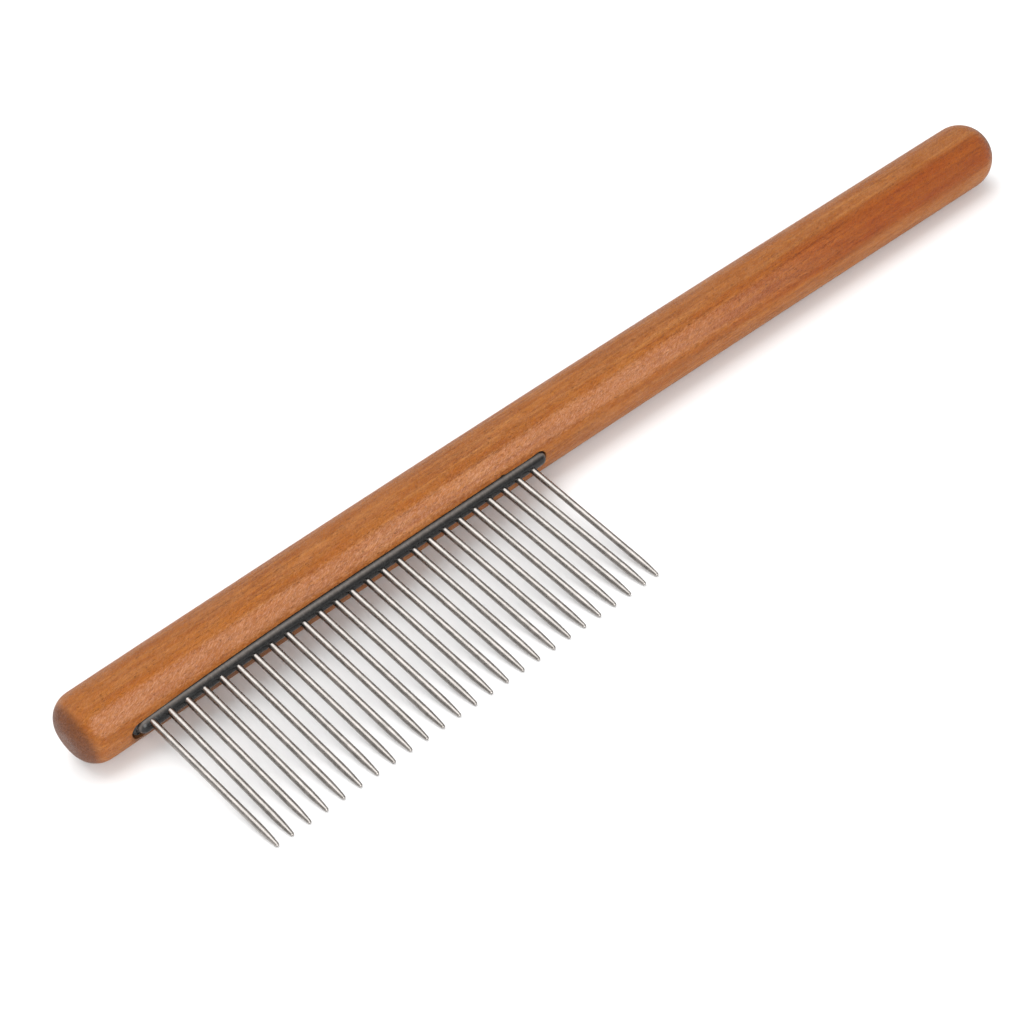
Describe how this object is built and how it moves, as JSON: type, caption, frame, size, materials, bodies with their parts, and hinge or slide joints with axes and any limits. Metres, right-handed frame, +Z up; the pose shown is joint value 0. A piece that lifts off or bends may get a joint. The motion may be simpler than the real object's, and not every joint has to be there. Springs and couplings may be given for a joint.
{
  "type": "grooming comb",
  "caption": "Pet grooming comb: a round stained-wood stick handle with a row of long straight steel pins set in a black bar along one side.",
  "frame": {"origin": "bottom centre of the bounding box of the comb as it lies on a table, on the stick's underside and the pins' tips", "axes": "+X along the stick from the comb end to the grip end, -Y the way the pins point, +Z up from the table"},
  "size_m": [0.2512, 0.0526, 0.0156],
  "materials": {
    "stained_wood": "satin varnish over a warm brown stain",
    "black_bar": "satin black",
    "adhesive": "dark cured resin",
    "pin_steel": "satin polished stainless wire"
  },
  "bodies": {
    "root": {"handle": "stained_wood", "pin_bar": "black_bar", "adhesive_bed": "adhesive", "pin_01": "pin_steel", "pin_02": "pin_steel", "pin_03": "pin_steel", "pin_04": "pin_steel", "pin_05": "pin_steel", "pin_06": "pin_steel", "pin_07": "pin_steel", "pin_08": "pin_steel", "pin_09": "pin_steel", "pin_10": "pin_steel", "pin_11": "pin_steel", "pin_12": "pin_steel", "pin_13": "pin_steel", "pin_14": "pin_steel", "pin_15": "pin_steel", "pin_16": "pin_steel", "pin_17": "pin_steel", "pin_18": "pin_steel", "pin_19": "pin_steel", "pin_20": "pin_steel", "pin_21": "pin_steel", "pin_22": "pin_steel", "pin_23": "pin_steel", "pin_24": "pin_steel", "pin_25": "pin_steel"}
  },
  "joints": []
}
